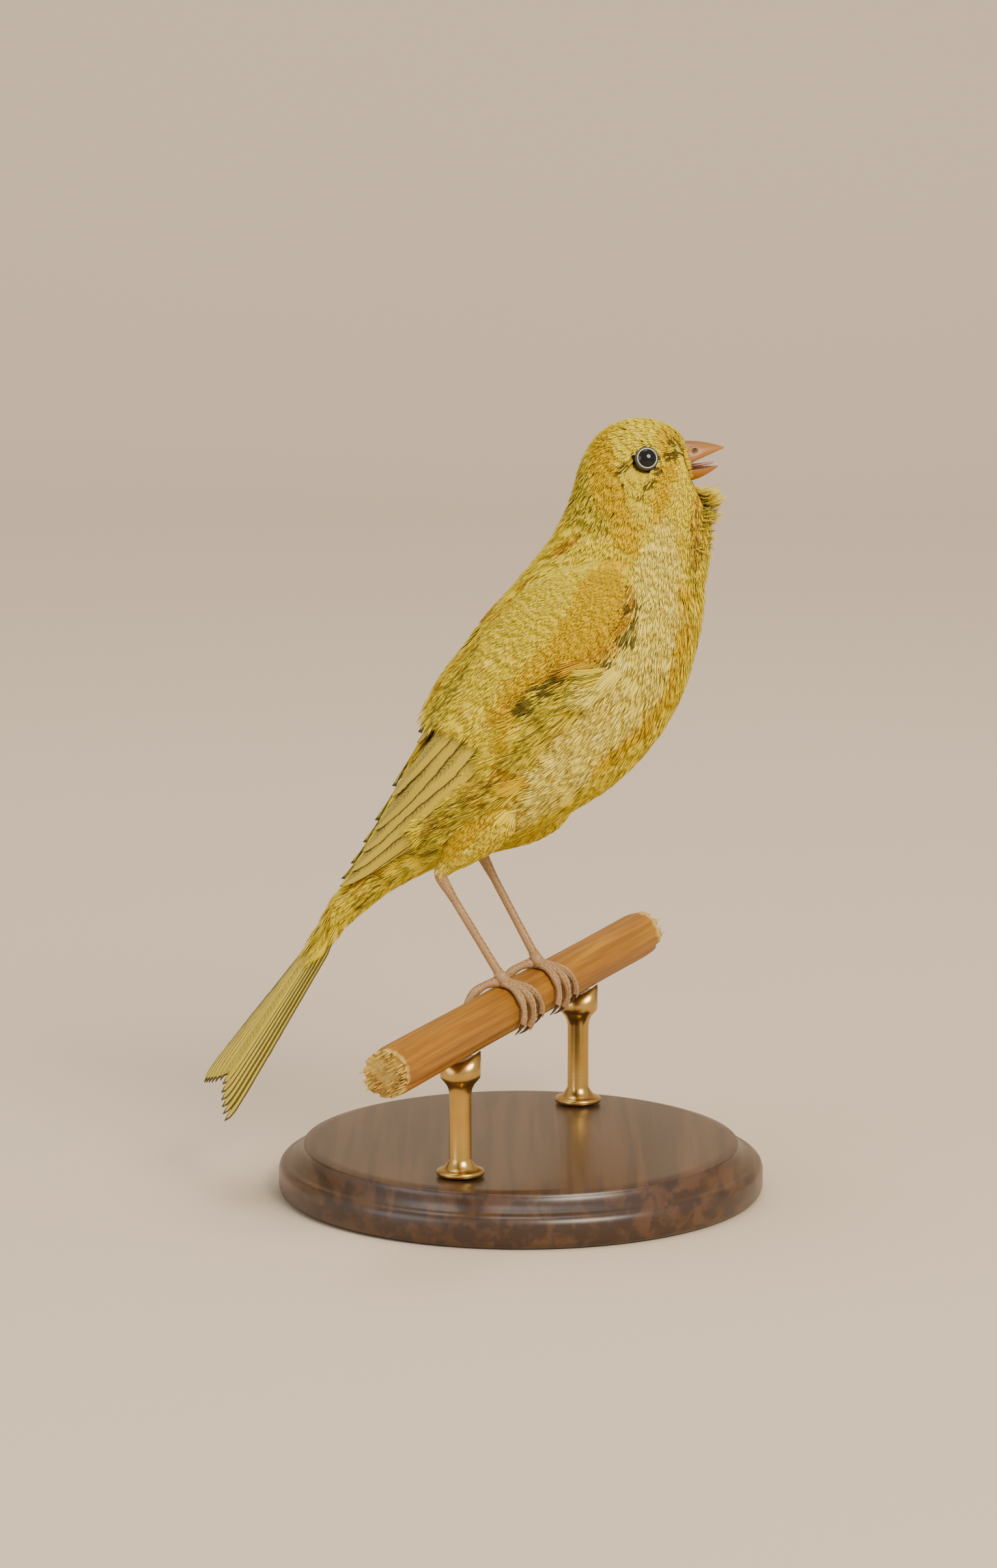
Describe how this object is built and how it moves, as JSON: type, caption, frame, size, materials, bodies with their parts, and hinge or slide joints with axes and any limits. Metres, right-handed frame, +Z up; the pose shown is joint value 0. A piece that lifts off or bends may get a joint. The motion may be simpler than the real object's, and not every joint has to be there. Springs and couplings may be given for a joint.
{
  "type": "mounted canary on a perch",
  "caption": "Life-size singing canary with folded wings and hanging tail, gripping a short round wooden perch held over a turned base by two rods.",
  "frame": {"origin": "centre of the display base's underside, at floor level", "axes": "+X the way the bird faces, +Y its left side, +Z up"},
  "size_m": [0.0929, 0.1124, 0.128],
  "materials": {
    "plumage": "soft matte body feathers, yellow to cream with golden patches",
    "flight_feathers": "smooth, faintly silky wing and tail feathers, olive-yellow with pale edges",
    "bill_horn": "satin orange-pink horn",
    "tongue_skin": "moist pink skin",
    "leg_skin": "scaly buff-pink skin, satin",
    "claw_horn": "satin translucent-looking brown horn",
    "eye_black": "wet, glossy dark brown-black",
    "perch_wood": "smooth ochre-brown stick, satin",
    "base_wood": "dark stained turned wood, satin",
    "rod_brass": "brushed"
  },
  "bodies": {
    "root": {"head": "plumage", "neck": "plumage", "torso": "plumage", "rump": "plumage", "tail": "flight_feathers", "bill_upper": "bill_horn", "bill_lower": "bill_horn", "tongue": "tongue_skin", "wing_right": "flight_feathers", "thigh_right": "plumage", "tarsus_right": "leg_skin", "foot_right": "leg_skin", "claw_right_1": "claw_horn", "claw_right_2": "claw_horn", "claw_right_3": "claw_horn", "claw_right_4": "claw_horn", "eye_right": "eye_black", "wing_left": "flight_feathers", "thigh_left": "plumage", "tarsus_left": "leg_skin", "foot_left": "leg_skin", "claw_left_1": "claw_horn", "claw_left_2": "claw_horn", "claw_left_3": "claw_horn", "claw_left_4": "claw_horn", "eye_left": "eye_black", "perch": "perch_wood", "stand_base": "base_wood", "stand_rod_1": "rod_brass", "stand_rod_2": "rod_brass"}
  },
  "joints": []
}
